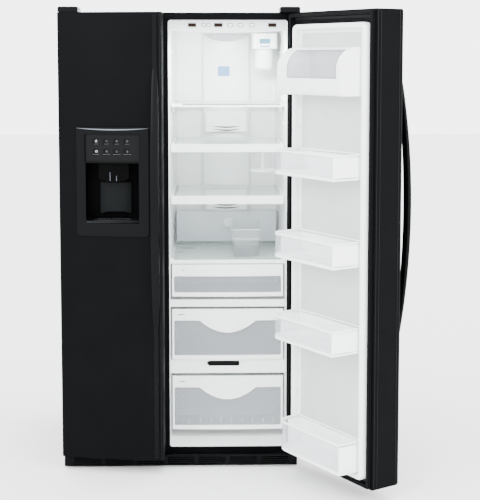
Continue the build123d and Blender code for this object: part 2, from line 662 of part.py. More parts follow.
def tub(x, y, z, corner, side):
    """An open topped door bin with thin walls."""
    with BuildSketch(Plane.XY.offset(z[0])) as outside:
        with BuildLine():
            tub_outline(x, y, corner, side)
        make_face()
    extrude(outside.sketch, amount=z[1] - z[0])
    inner_x = (x[0] + WALL, x[1] - WALL)
    inner_y = (y[0] + WALL, y[1] - WALL)
    with BuildSketch(Plane.XY.offset(z[0] + WALL)) as inside:
        with BuildLine():
            tub_outline(inner_x, inner_y, corner - WALL, side)
        make_face()
    extrude(inside.sketch, amount=z[1] - z[0], mode=Mode.SUBTRACT)


with BuildPart() as freezer_door_bins:
    for bin_z in FREEZER_BINS_Z:
        tub(FREEZER_BIN_X, (BIN_BACK, 80), bin_z, 30, -1)
save(freezer_door_bins, "freezer_door_bins")

with BuildPart() as door_bins:
    for bin_z in BINS_Z:
        tub(BIN_X, (BIN_BACK, 130), bin_z, 50, 1)
save(door_bins, "door_bins", DOOR_OPEN)

with BuildPart() as bottom_bin:
    tub(BIN_X, (BIN_BACK, 96), BOTTOM_BIN_Z, 50, 1)
save(bottom_bin, "bottom_bin", DOOR_OPEN)

with BuildPart() as dairy_box:
    tub(BIN_X, (BIN_BACK, 100), DAIRY_Z, 60, 1)
    block((20, 340), (50, 110), (DAIRY_Z[0] + 60, DAIRY_Z[1] + 1), Mode.SUBTRACT)
    block(BIN_X, (BIN_BACK, 50), (DAIRY_Z[1] - WALL, DAIRY_Z[1]))
save(dairy_box, "dairy_box", DOOR_OPEN)

with BuildPart() as dairy_lid:
    block((22, 310), (97, 100), (DAIRY_Z[0] + 62, DAIRY_Z[1] - 2))
    block((22, 310), (53, 100), (DAIRY_Z[1] - 5, DAIRY_Z[1] - 2))
save(dairy_lid, "dairy_lid", DOOR_OPEN)
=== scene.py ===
"""Looks of the side by side refrigerator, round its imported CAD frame. Metres, +Z up, doors facing -Y."""

import json
import math

import bmesh
import bpy
from mathutils import Matrix, Vector


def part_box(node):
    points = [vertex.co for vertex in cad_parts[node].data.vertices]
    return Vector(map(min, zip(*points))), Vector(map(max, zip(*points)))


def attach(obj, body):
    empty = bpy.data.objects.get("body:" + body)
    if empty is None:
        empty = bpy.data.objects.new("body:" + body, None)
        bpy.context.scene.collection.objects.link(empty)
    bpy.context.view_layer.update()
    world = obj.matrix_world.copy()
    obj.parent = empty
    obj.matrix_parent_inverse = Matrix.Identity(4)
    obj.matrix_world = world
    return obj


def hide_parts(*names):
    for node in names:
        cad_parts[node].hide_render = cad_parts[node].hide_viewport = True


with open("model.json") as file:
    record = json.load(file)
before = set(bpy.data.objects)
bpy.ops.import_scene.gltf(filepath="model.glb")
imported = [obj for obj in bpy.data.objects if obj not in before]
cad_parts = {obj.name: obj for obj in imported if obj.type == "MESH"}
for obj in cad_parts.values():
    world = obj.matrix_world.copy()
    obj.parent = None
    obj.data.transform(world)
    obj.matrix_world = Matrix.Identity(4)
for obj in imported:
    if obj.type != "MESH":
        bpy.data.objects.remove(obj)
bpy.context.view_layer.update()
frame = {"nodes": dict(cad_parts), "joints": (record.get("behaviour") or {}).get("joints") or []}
NODES = frame["nodes"]
JOINTS = {joint["name"]: joint for joint in frame["joints"]}

# Everything below is placed in the drawing's own axes: X = 0 at the case's middle, Y = 0 at its front.
case_low, case_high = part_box("case_shell")
DRAWN_ZERO = Vector(((case_low.x + case_high.x) / 2, case_low.y, 0))
TO_FRAME = Matrix.Translation(DRAWN_ZERO)


def box(node):
    """A CAD node's lowest and highest corners in the drawing's axes."""
    low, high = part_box(node)
    return Vector(low) - DRAWN_ZERO, Vector(high) - DRAWN_ZERO


# Pieces of the fresh food door are drawn shut, then turned open about its hinge as the frame holds it.
OPEN_ANGLE = -JOINTS["fresh_door_hinge"]["range_deg"][0]
HINGE = Vector(JOINTS["fresh_door_hinge"]["pos_m"]) - DRAWN_ZERO
TURN = Matrix.Rotation(math.radians(OPEN_ANGLE), 4, "Z")
SWING = Matrix.Translation(HINGE) @ TURN @ Matrix.Translation(-HINGE)


# ================================================================ materials
CLOUD_SCALE = 9
GRAIN_DEPTH = 0.0004


def surface(name, colour, roughness, metallic=0.0, grain=(400, 0.15), mottle=0.06, alpha=1.0, shine=0.5):
    """A surface with a slight mottle in its colour and gloss, and a fine grain (scale, strength)."""
    made = bpy.data.materials.new(name)
    made.use_nodes = True
    nodes, links = made.node_tree.nodes, made.node_tree.links
    shader = nodes["Principled BSDF"]
    place = nodes.new("ShaderNodeTexCoord")
    cloud = nodes.new("ShaderNodeTexNoise")
    cloud.inputs["Scale"].default_value = CLOUD_SCALE
    cloud.inputs["Detail"].default_value = 5
    tint = nodes.new("ShaderNodeValToRGB")
    dark, light = tint.color_ramp.elements
    dark.color = (*(channel * (1 - mottle) for channel in colour), 1)
    light.color = (*(min(1.0, channel * (1 + mottle)) for channel in colour), 1)
    dark.position = 0.35
    light.position = 0.65
    gloss = nodes.new("ShaderNodeMapRange")
    gloss.inputs["To Min"].default_value = roughness * 0.88
    gloss.inputs["To Max"].default_value = min(1.0, roughness * 1.12)
    texture = nodes.new("ShaderNodeTexVoronoi")
    texture.feature = "SMOOTH_F1"
    texture.inputs["Scale"].default_value = grain[0]
    bump = nodes.new("ShaderNodeBump")
    bump.inputs["Strength"].default_value = grain[1]
    bump.inputs["Distance"].default_value = GRAIN_DEPTH
    links.new(place.outputs["Object"], cloud.inputs["Vector"])
    links.new(place.outputs["Object"], texture.inputs["Vector"])
    links.new(cloud.outputs["Fac"], tint.inputs["Fac"])
    links.new(tint.outputs["Color"], shader.inputs["Base Color"])
    links.new(cloud.outputs["Fac"], gloss.inputs["Value"])
    links.new(gloss.outputs["Result"], shader.inputs["Roughness"])
    links.new(texture.outputs["Distance"], bump.inputs["Height"])
    links.new(bump.outputs["Normal"], shader.inputs["Normal"])
    shader.inputs["Metallic"].default_value = metallic
    shader.inputs["Alpha"].default_value = alpha
    shader.inputs["Specular IOR Level"].default_value = shine
    return made


# black and grey plastic and paint of the outside, and the painted highlights and shade on it
BLACK_PAINT = surface(
    "black_paint", (0.0010, 0.0012, 0.0015), 0.42, grain=(700, 0.35), mottle=0.12, shine=0.03
)
BLACK_TRIM = surface("black_trim", (0.0008, 0.0010, 0.0012), 0.24, grain=(1200, 0.05), shine=0.06)
BLACK_MATT = surface("black_matt", (0.0014, 0.0016, 0.0019), 0.5, grain=(900, 0.3), shine=0.04)
SEAL = surface("seal_rubber", (0.0018, 0.0020, 0.0023), 0.62, grain=(1500, 0.2), shine=0.04)
# black plastic of the dispenser's recess and chute, made darker and duller than the bezel as painted shade
# in the pocket
RECESS = surface("recess_black_and_painted_shade", (0.0006, 0.0006, 0.0007), 0.5, grain=(900, 0.1), shine=0.02)
DARK_PANEL = surface("dark_panel", (0.0034, 0.0036, 0.0040), 0.34, grain=(1500, 0.08), shine=0.05)
PADDLE_GREY = surface("paddle_grey", (0.0026, 0.0032, 0.0036), 0.38, grain=(1500, 0.08), shine=0.05)
# grey lighter than the door paint, for painted highlights along the doors' edges
EDGE_HIGHLIGHT_GREY = surface("painted_edge_highlight", (0.0034, 0.0036, 0.0040), 0.30, grain=(1500, 0.05), shine=0.12)
# dark grey: painted highlights on the black drip tray, and painted shade in the slots of the white air ducts
LIGHT_AND_SHADE_GREY = surface("painted_highlight_and_shade", (0.014, 0.016, 0.018), 0.32, grain=(1500, 0.08), shine=0.2)
# light grey for painted highlights: along the bezel's top lip and down the chute's spouts
PAINTED_HIGHLIGHT = surface("painted_lip_highlight", (0.085, 0.095, 0.110), 0.2, grain=(1500, 0.02), shine=0.3)
LIGHT_MARK = surface("light_print", (0.045, 0.048, 0.052), 0.45, grain=(900, 0.05), mottle=0.03)
LIT_MARK = surface("lit_print", (0.40, 0.42, 0.44), 0.45, grain=(900, 0.05), mottle=0.03)

# white and clear plastic, glass and prints of the inside, and the painted shade in it
WHITE = surface("white_liner", (0.80, 0.82, 0.815), 0.34, grain=(500, 0.06), mottle=0.015)
WHITE_TRIM = surface("white_trim", (0.86, 0.875, 0.87), 0.28, grain=(900, 0.04), mottle=0.01)
# grey for painted shade in the door lining's recess
LINING_SHADE_GREY = surface("lining_painted_shade", (0.50, 0.51, 0.51), 0.38, grain=(500, 0.06), mottle=0.02)
# grey-blue for painted shade at the back of the cabin
BACK_SHADE_GREY = surface("back_cover_painted_shade", (0.66, 0.70, 0.74), 0.4, grain=(500, 0.06), mottle=0.03)
PALE_GREY = surface("pale_grey", (0.55, 0.58, 0.60), 0.4, grain=(900, 0.06), mottle=0.02)
# grey for the lamp's shield, as painted shade
SHIELD = surface("lamp_shield_painted_shade", (0.22, 0.23, 0.25), 0.3, grain=(900, 0.05), mottle=0.03)
LID_EDGE = surface("lid_edge", (0.22, 0.24, 0.26), 0.3, grain=(900, 0.05), mottle=0.03)
BUTTON_RIM = surface("button_rim", (0.035, 0.038, 0.045), 0.4, grain=(900, 0.05), mottle=0.05)
CLEAR = surface("clear_plastic", (0.56, 0.61, 0.64), 0.10, grain=(900, 0.03), mottle=0.02, alpha=0.20)
CLEAR_THIN = surface("clear_thin", (0.60, 0.66, 0.68), 0.08, grain=(900, 0.02), mottle=0.02, alpha=0.13)
FROSTED = surface("frosted_plastic", (0.84, 0.88, 0.89), 0.3, grain=(900, 0.06), mottle=0.02, alpha=0.62)
SHELF_GLASS = surface("shelf_glass", (0.62, 0.80, 0.74), 0.06, grain=(60, 0.01), mottle=0.02, alpha=0.30)
GLASS_EDGE = surface("glass_edge", (0.04, 0.17, 0.13), 0.12, grain=(60, 0.02), mottle=0.1)
BROWN_GLASS = surface(
    "display_glass", (0.014, 0.006, 0.004), 0.2, grain=(60, 0.01), mottle=0.1, shine=0.05
)
TEAL_PRINT = surface("teal_print", (0.05, 0.20, 0.30), 0.5, grain=(900, 0.05), mottle=0.2)
NAVY_PRINT = surface("navy_print", (0.05, 0.08, 0.22), 0.5, grain=(900, 0.05), mottle=0.1)
PALE_BLUE = surface("pale_blue_print", (0.11, 0.24, 0.46), 0.5, grain=(900, 0.05), mottle=0.04)

# metal, foam and the plastic of the machine room
GALVANISED = surface("galvanised", (0.52, 0.53, 0.54), 0.42, metallic=0.9, grain=(120, 0.12), mottle=0.12)
ZINC = surface("zinc_steel", (0.55, 0.55, 0.54), 0.35, metallic=0.9, grain=(300, 0.1), mottle=0.08)
ALUMINIUM = surface("bare_aluminium", (0.72, 0.73, 0.74), 0.35, metallic=1.0, grain=(500, 0.1))
BLACK_STEEL = surface("black_steel", (0.02, 0.02, 0.022), 0.42, metallic=0.2, grain=(500, 0.2))
GREY = surface("grey_plastic", (0.30, 0.31, 0.32), 0.5, grain=(700, 0.2), mottle=0.04)
FOAM = surface("wall_foam", (0.72, 0.58, 0.30), 0.85, grain=(150, 0.8), mottle=0.1)

CAD_FINISH = {
    BLACK_PAINT: ("case_shell", "freezer_door_panel", "fresh_door_panel", "front_frame"),
    BLACK_MATT: ("base_grille", "door_hinges"),
    BLACK_TRIM: ("dispenser_housing", "hinge_covers", "humidity_slider"),
    DARK_PANEL: ("dispenser_panel", "drip_tray"),
    PADDLE_GREY: ("dispenser_paddle",),
    WHITE: ("fresh_liner", "freezer_liner", "air_tower", "freezer_baskets", "control_panel"),
    WHITE_TRIM: (
        "shelf_frames",
        "drawer_covers",
        "deli_drawer_front",
        "crisper_drawer_front",
        "lower_drawer_front",
        "filter_housing",
        "water_filter",
        "shelf_tracks",
        "temp_knob",
        "freezer_shelves",
        "freezer_door_liner",
    ),
    CLEAR: ("deli_drawer_pan", "crisper_drawer_pan", "lower_drawer_pan", "freezer_door_bins", "ice_bucket"),
    FROSTED: ("bottle_ring",),
    SHELF_GLASS: ("shelf_glasses",),
    GALVANISED: ("back_panel", "machine_cover", "base_frame"),
    ZINC: ("leveling_legs", "ice_auger"),
    ALUMINIUM: ("evaporator_coil",),
    BLACK_STEEL: ("compressor", "condenser_coil"),
    GREY: ("rear_rollers", "condenser_fan", "evaporator_fan", "drain_pan", "water_valve", "ice_maker"),
    FOAM: ("insulation_panels",),
}
for finish, names in CAD_FINISH.items():
    for name in names:
        for material_slot in NODES[name].material_slots:
            material_slot.material = finish


def round_edges(piece, width, segments, angle):
    """Rounded edges on a piece wherever its faces meet at more than an angle in degrees."""
    rounding = piece.modifiers.new("soft_edges", "BEVEL")
    rounding.width = width
    rounding.segments = segments
    rounding.limit_method = "ANGLE"
    rounding.angle_limit = math.radians(angle)
    rounding.harden_normals = True


# small rounded edges on CAD nodes that are shown as they are
SOFT_EDGES = {
    0.0016: ("deli_drawer_front", "crisper_drawer_front", "lower_drawer_front", "drawer_covers"),
    0.0012: ("shelf_frames", "control_panel", "filter_housing", "air_tower", "base_grille"),
}
for width, names in SOFT_EDGES.items():
    for name in names:
        round_edges(NODES[name], width, segments=2, angle=40)


# ================================================================ spans, points and curves
def around(middle, half):
    """The span that reaches half to each side of its middle."""
    return middle - half, middle + half


def onward(start, length):
    """The span that starts at a place and is so long."""
    return start, start + length


def inset(span, by):
    """A span with both of its ends moved inwards."""
    return span[0] + by, span[1] - by


def between(span, share):
    """The place at a share from 0 to 1 along a span."""
    return span[0] + (span[1] - span[0]) * share


def shares(steps):
    """Equal steps from 0 to 1."""
    return [step / steps for step in range(steps + 1)]


def swell(share):
    """0 at both ends and 1 in the middle of a share from 0 to 1, as a parabola."""
    return 1 - (2 * share - 1) ** 2


def arc(centre, radius, angles):
    """Points on a circle at some angles in degrees: (u, v) pairs."""
    turned = [math.radians(angle) for angle in angles]
    return [(centre[0] + radius * math.cos(turn), centre[1] + radius * math.sin(turn)) for turn in turned]


def rounded_rectangle(width, height, radius, steps=5):
    """Points round a rectangle with rounded corners, centred on nothing: (u, v) pairs."""
    radius = min(radius, width / 2 - 1e-5, height / 2 - 1e-5)
    points = []
    for corner, (sign_u, sign_v) in enumerate(((1, 1), (-1, 1), (-1, -1), (1, -1))):
        middle = (sign_u * (width / 2 - radius), sign_v * (height / 2 - radius))
        points += arc(middle, radius, [90 * corner + 90 * share for share in shares(steps)])
    return points


def level(outline, height, centre=(0, 0)):
    """An outline laid flat at a height."""
    return [(centre[0] + u, centre[1] + v, height) for u, v in outline]


def upright(outline, depth, centre=(0, 0)):
    """An outline stood up, facing the front, at a depth."""
    return [(centre[0] + u, depth, centre[1] + v) for u, v in outline]


def section(x, y, z):
    """A rectangle across the X axis, as one ring of a loft along it."""
    return [(x, y[0], z[1]), (x, y[1], z[1]), (x, y[1], z[0]), (x, y[0], z[0])]


# ================================================================ pieces
def finish_piece(name, mesh_data, material, body, matrix=None, bevel=0.0):
    """Put a finished bmesh in the scene as a piece that rides on a CAD body."""
    bmesh.ops.recalc_face_normals(mesh_data, faces=mesh_data.faces)
    data = bpy.data.meshes.new(name)
    mesh_data.to_mesh(data)
    mesh_data.free()
    data.transform(TO_FRAME @ matrix if matrix else TO_FRAME)
    piece = bpy.data.objects.new(name, data)
    bpy.context.scene.collection.objects.link(piece)
    data.materials.append(material)
    for polygon in data.polygons:
        polygon.use_smooth = True
    if bevel:
        round_edges(piece, bevel, segments=3, angle=35)
    else:
        data.set_sharp_from_angle(angle=math.radians(40))
    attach(piece, body)
    return piece


def loft(name, rings, material, body, closed=False, caps=True, **options):
    """Skin rings that have the same number of points each. closed joins the last ring to the first."""
    built = bmesh.new()
    rows = [[built.verts.new(point) for point in ring] for ring in rings]
    count = len(rows[0])
    pairs = list(zip(rows, rows[1:])) + ([(rows[-1], rows[0])] if closed else [])
    for low, high in pairs:
        for index in range(count):
            after = (index + 1) % count
            built.faces.new((low[index], low[after], high[after], high[index]))
    if caps and not closed:
        built.faces.new(reversed(rows[0]))
        built.faces.new(rows[-1])
    return finish_piece(name, built, material, body, **options)


def plate(name, x, z, y, material, body, radius=0.004, bevel=0.0008, **options):
    """A rounded plate that faces the front."""
    outline = rounded_rectangle(x[1] - x[0], z[1] - z[0], radius)
    centre = (sum(x) / 2, sum(z) / 2)
    rings = [upright(outline, depth, centre) for depth in y]
    return loft(name, rings, material, body, bevel=bevel, **options)


def slab(name, x, y, z, material, body, radius=0.002, bevel=0.0008, **options):
    """A block with rounded upright edges and softened top and bottom edges."""
    outline = rounded_rectangle(x[1] - x[0], y[1] - y[0], radius)
    centre = (sum(x) / 2, sum(y) / 2)
    rings = [level(outline, height, centre) for height in z]
    return loft(name, rings, material, body, bevel=bevel, **options)


def frame_ring(name, x, z, profile, radius, material, body, caps=False, **options):
    """A profile of (inset, depth) steps carried round an opening. caps closes it into a dish."""
    centre = (sum(x) / 2, sum(z) / 2)
    rings = []
    for step_in, depth in profile:
        outline = rounded_rectangle(
            x[1] - x[0] - 2 * step_in, z[1] - z[0] - 2 * step_in, max(radius - step_in, 0.002)
        )
        rings.append(upright(outline, depth, centre))
    return loft(name, rings, material, body, closed=not caps, caps=caps, **options)


def wire(name, points, radius, material, body, matrix=None):
    """A round wire or bead through some points."""
    curve = bpy.data.curves.new(name, "CURVE")
    curve.dimensions = "3D"
    curve.bevel_depth = radius
    curve.bevel_resolution = 3
    curve.use_fill_caps = True
    spline = curve.splines.new("POLY")
    spline.points.add(len(points) - 1)
    for point, place in zip(spline.points, points):
        place = matrix @ Vector(place) if matrix else Vector(place)
        point.co = (*(TO_FRAME @ place), 1)
    curve.materials.append(material)
    piece = bpy.data.objects.new(name, curve)
    bpy.context.scene.collection.objects.link(piece)
    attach(piece, body)
    return piece


# ================================================================ the arched fronts of the doors
ARCH_RADIUS = 1.680
ARCH_FRONT = -0.134
DOOR_BOTTOM, DOOR_TOP = (corner.z for corner in box("freezer_door_panel"))


def face_y(x, proud=0.0):
    """The depth of the doors' arch at x, proud metres out of it."""
    return ARCH_FRONT + ARCH_RADIUS - math.sqrt((ARCH_RADIUS + proud) ** 2 - x**2)


# ================================================================ seals and door linings
SEAL_Z = (DOOR_BOTTOM + 0.003, DOOR_TOP - 0.005)
SEAL_BACK = -0.014
SEAL_FRONT = -0.001


def seal(door, x, matrix):
    """The soft magnetic seal: a bellows profile carried round the door."""
    bellows = [
        (0.0000, SEAL_BACK),
        (0.0000, SEAL_BACK + 0.004),
        (0.0022, SEAL_BACK + 0.0065),
        (0.0004, SEAL_BACK + 0.009),
        (0.0006, SEAL_FRONT - 0.0008),
        (0.0020, SEAL_FRONT),
        (0.0120, SEAL_FRONT),
        (0.0134, SEAL_FRONT - 0.0008),
        (0.0136, SEAL_BACK + 0.009),
        (0.0118, SEAL_BACK + 0.0065),
        (0.0140, SEAL_BACK + 0.004),
        (0.0140, SEAL_BACK),
    ]
    ring = frame_ring(f"{door}_seal", x, SEAL_Z, bellows, 0.006, SEAL, door, matrix=matrix)
    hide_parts(f"{door}_gasket")


seal("freezer_door", (-0.440, -0.070), None)
seal("fresh_door", (-0.050, 0.440), SWING)

LINING_X = (-0.030, 0.396)
LINING_Z = [corner.z for corner in box("fresh_door_liner")]
lining_profile = [
    (0.000, -0.0139),
    (0.000, 0.006),
    (0.0015, 0.012),
    (0.005, 0.0155),
    (0.010, 0.016),
    (0.016, 0.0155),
    (0.019, 0.012),
    (0.021, 0.004),
    (0.0215, -0.006),
    (0.024, -0.0095),
    (0.034, -0.0105),
]
lining = frame_ring("fresh_door_lining", LINING_X, LINING_Z, lining_profile, 0.022, WHITE, "fresh_door",
                    caps=True, matrix=SWING)
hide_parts("fresh_door_liner")

# a grey plate in the middle of the door lining: painted shade in its recess
plate("fresh_door_inner_shade", inset(LINING_X, 0.030), inset(LINING_Z, 0.032), (-0.0108, -0.0098),
      LINING_SHADE_GREY, "fresh_door", radius=0.010, bevel=0.0004, matrix=SWING)

# the black flange that the seal is pressed into, seen as a band round the lining
flange_profile = [(0.001, -0.0139), (0.001, -0.0125), (0.003, -0.0118), (0.026, -0.0118), (0.027, -0.0139)]
frame_ring("fresh_door_flange", (-0.056, 0.450), SEAL_Z, flange_profile, 0.004, BLACK_TRIM, "fresh_door",
           matrix=SWING)

# hooks on both rims of the lining that the bins hang from
HOOK_SPACING = 0.084
for side, hook_x in (("hinge", LINING_X[1] - 0.0245), ("handle", LINING_X[0] + 0.0225)):
    for number in range(16):
        hook_z = onward(0.30 + HOOK_SPACING * number, 0.022)
        slab(f"bin_hook_{side}_{number}", onward(hook_x, 0.002), (-0.004, 0.008), hook_z, WHITE,
             "fresh_door", radius=0.0009, bevel=0.0004, matrix=SWING)


# ================================================================ bins on the fresh food door
BIN_X = (LINING_X[0] + 0.0235, LINING_X[1] - 0.0245)
BIN_BACK = -0.0105
BIN_FRONT = 0.1295
BIN_CORNER = 0.050
BIN_WALL = 0.0025


def bin_outline(x, y, corner):
    """A bin from above, square on the handle side and rounded on the hinge side."""
    square = [(x[1], y[0]), (x[0], y[0]), (x[0], y[1])]
    return square + arc((x[1] - corner, y[1] - corner), corner, [90 - 90 * share for share in shares(8)])


def door_bin(name, front, z):
    """A white tray, rim, back and ends round a clear window that bows towards the hinge."""
    y = (BIN_BACK, front)
    outer = bin_outline(BIN_X, y, BIN_CORNER)
    inner = bin_outline(inset(BIN_X, BIN_WALL), inset(y, BIN_WALL), BIN_CORNER - BIN_WALL)
    tray = [level(outer, height) for height in onward(z[0], 0.012)]
    loft(f"{name}_tray", tray, WHITE_TRIM, "fresh_door", bevel=0.0015, matrix=SWING)
    rim_low = z[1] - 0.010
    rim = [level(outer, rim_low), level(outer, z[1]), level(inner, z[1]), level(inner, rim_low)]
    piece = loft(f"{name}_rim", rim, WHITE_TRIM, "fresh_door", closed=True, matrix=SWING)
    walls = (
        ("end_handle", onward(BIN_X[0], BIN_WALL), y),
        ("back", BIN_X, onward(BIN_BACK, BIN_WALL)),
        ("end_hinge", (BIN_X[1] - BIN_WALL, BIN_X[1]), (BIN_BACK, front - BIN_CORNER)),
    )
    for label, wall_x, wall_y in walls:
        slab(f"{name}_{label}", wall_x, wall_y, (z[0] + 0.006, z[1] - 0.004), WHITE_TRIM, "fresh_door",
             radius=0.001, matrix=SWING)
    bowed = outer[2:] + list(reversed(inner[2:]))
    window = [level(bowed, height) for height in (z[0] + 0.010, z[1] - 0.008)]
    loft(f"{name}_window", window, CLEAR, "fresh_door", matrix=SWING)
    for rib in range(1, 4):
        rib_x = onward(BIN_X[0] + (BIN_X[1] - BIN_X[0] - BIN_CORNER) * rib / 4, 0.002)
        slab(f"{name}_floor_rib_{rib}", rib_x, inset(y, 0.01), (z[0] + 0.011, z[0] + 0.014), WHITE_TRIM,
             "fresh_door", radius=0.0008, bevel=0.0004, matrix=SWING)
    return piece


upper_bin = door_bin("upper_bin", BIN_FRONT, (1.150, 1.240))
door_bin("middle_bin", BIN_FRONT, (0.845, 0.935))
door_bin("lower_bin", BIN_FRONT, (0.540, 0.630))
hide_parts("door_bins")
bottom_bin = door_bin("bottom_bin", 0.0955, (0.112, 0.224))
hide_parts("bottom_bin")

# ---------------------------------------------------------------- dairy compartment
DAIRY_Z = [corner.z for corner in box("dairy_box")]
DAIRY_FRONT = 0.0995
DAIRY_SHOULDER = 1.535
LIP_Z = DAIRY_Z[0] + 0.060
TUB_X = (0.021, 0.311)
COVER_X = (0.0235, 0.3085)


def dairy_arc(shrink):
    """The quarter round top from the side: (depth, height) pairs from its back to its shoulder."""
    points = []
    for share in shares(14):
        angle = math.radians(90 * share)
        reach = 0.010 + (DAIRY_FRONT - 0.010 - shrink) * math.sin(angle)
        height = DAIRY_SHOULDER + (DAIRY_Z[1] - DAIRY_SHOULDER - shrink) * math.cos(angle)
        points.append((reach, height))
    return points


def along_x(name, x, profile, material, body, bevel=0.0):
    """A piece of the open door with one profile from end to end."""
    rings = [[(end, depth, height) for depth, height in profile] for end in x]
    return loft(name, rings, material, body, bevel=bevel, matrix=SWING)


# the rounded edge between the compartment's front and its floor
toe = [
    (DAIRY_FRONT, DAIRY_Z[0] + 0.012),
    (DAIRY_FRONT - 0.004, DAIRY_Z[0] + 0.003),
    (DAIRY_FRONT - 0.012, DAIRY_Z[0]),
]
end_profile = [(BIN_BACK, DAIRY_Z[0]), (BIN_BACK, DAIRY_Z[1])] + dairy_arc(0) + toe
along_x("dairy_end_handle", (BIN_X[0], 0.0215), end_profile, WHITE_TRIM, "fresh_door", 0.003)
along_x("dairy_end_hinge", (0.3105, BIN_X[1]), end_profile, WHITE_TRIM, "fresh_door", 0.003)
tub_inside = DAIRY_FRONT - 0.0045
tub_profile = [(BIN_BACK, DAIRY_Z[0]), (BIN_BACK, DAIRY_Z[0] + 0.003), (tub_inside, DAIRY_Z[0] + 0.004)]
tub_profile += [(tub_inside, LIP_Z), (DAIRY_FRONT, LIP_Z)] + toe
dairy = along_x("dairy_tub", TUB_X, tub_profile, WHITE_TRIM, "fresh_door", 0.001)
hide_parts("dairy_box")
roof_profile = [(BIN_BACK, DAIRY_Z[1] - 0.004), (BIN_BACK, DAIRY_Z[1])]
roof_profile += [(0.0535, DAIRY_Z[1] - 0.0065), (0.053, DAIRY_Z[1] - 0.0105)]
along_x("dairy_roof", TUB_X, roof_profile, WHITE_TRIM, "fresh_door", 0.001)

cover_outside = [point for point in dairy_arc(0.0004) if point[0] > 0.056]
cover_outside.append((DAIRY_FRONT - 0.0004, LIP_Z + 0.003))
cover_inside = [point for point in dairy_arc(0.0032) if point[0] > 0.054]
cover_inside.append((DAIRY_FRONT - 0.0034, LIP_Z + 0.003))
cover_profile = cover_outside + list(reversed(cover_inside))
lid = along_x("dairy_cover", COVER_X, cover_profile, CLEAR, "dairy_lid")
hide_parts("dairy_lid")
rim = [(depth - 0.0012, height) for depth, height in cover_outside]
RIM_X = inset(COVER_X, 0.001)
for side, rim_x in (("hinge", RIM_X[1]), ("handle", RIM_X[0])):
    wire(f"dairy_cover_rim_{side}", [(rim_x, *point) for point in rim], 0.0011, LID_EDGE, "dairy_lid", SWING)
for label, point in (("top", rim[0]), ("lip", rim[-1])):
    wire(f"dairy_cover_{label}", [(end, *point) for end in RIM_X], 0.0013, LID_EDGE, "dairy_lid", SWING)


# ================================================================ bow handles and door edges
HANDLE_Z = (0.560, 1.530)
STAND_OFF = 0.049
STRIP_HALF = 0.010


def bow_handle(door, centre_x, matrix):
    """A tapered bow that stands out of a slim strip up the door's edge."""
    rings = []
    for share in shares(48):
        rise = swell(share)
        width, depth = 0.019 + 0.014 * math.sqrt(rise), 0.010 + 0.007 * rise
        outline = rounded_rectangle(width, depth, 0.0045 + 0.003 * rise, 4)
        centre = (centre_x, face_y(centre_x) - 0.001 - STAND_OFF * rise)
        rings.append(level(outline, between(HANDLE_Z, share), centre))
    bow = loft(f"{door}_bow", rings, BLACK_TRIM, door, matrix=matrix)
    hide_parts(f"{door}_handle")
    left, right = around(centre_x, STRIP_HALF)
    face = face_y(right)
    strip = [(left, face + 0.004), (left, face - 0.0025), (left + 0.002, face - 0.0048)]
    strip += [(right - 0.002, face - 0.0048), (right, face - 0.0025), (right, face + 0.004)]
    strip_rings = [level(strip, height) for height in inset((DOOR_BOTTOM, DOOR_TOP), 0.008)]
    loft(f"{door}_strip", strip_rings, BLACK_TRIM, door, matrix=matrix)


def door_edge_highlights(door, edge_x, matrix, inward):
    """Fine raised lines up the front and the side of a door's handle edge, lighter and glossier than the
    door as painted highlights.
    """
    heights = inset((DOOR_BOTTOM, DOOR_TOP), 0.004)
    for number, step_in in enumerate((0.003, 0.009)):
        bead_x = edge_x + inward * step_in
        bead = [(bead_x, face_y(bead_x), height) for height in heights]
        wire(f"{door}_edge_bead_{number}", bead, 0.0011, EDGE_HIGHLIGHT_GREY, door, matrix)
    side_x = edge_x - inward * 0.0003
    for number, depth in enumerate((-0.020, -0.034, -0.118)):
        bead = [(side_x, depth, height) for height in heights]
        wire(f"{door}_side_bead_{number}", bead, 0.0010, EDGE_HIGHLIGHT_GREY, door, matrix)


bow_handle("freezer_door", -0.089, None)
bow_handle("fresh_door", -0.031, SWING)
door_edge_highlights("freezer_door", -0.062, None, -1)
door_edge_highlights("fresh_door", -0.058, SWING, 1)


# ================================================================ dispenser
BEZEL_LOW, BEZEL_HIGH = box("dispenser_housing")
LIP_X = inset((BEZEL_LOW.x, BEZEL_HIGH.x), 0.002)
# a painted highlight along the bezel's top lip: a light grey lens, thickest in the middle, standing proud of
# the bezel
lip = []
for share in shares(24):
    lip_x = between(LIP_X, share)
    lip_top = BEZEL_HIGH.z - 0.0035 - 0.003 * swell(share)
    lip_low = lip_top - 0.0006 - 0.0042 * swell(share)
    lip.append(section(lip_x, onward(face_y(lip_x, 0.0075), 0.003), (lip_low, lip_top)))
loft("bezel_lip_highlight", lip, PAINTED_HIGHLIGHT, "freezer_door")

PAD_X = (-0.308, -0.269, -0.231, -0.192)
PAD_Z = (1.2615, 1.2230)
PAD_HALF = (0.014, 0.012)
SYMBOLS = (("drop", "cube", "bars", "ring"), ("ring", "bars", "cube", "drop"))
SYMBOL_SIZE = 0.0036
SYMBOL_WIRE = 0.0007
BAR_HALF = (0.008, 0.014)


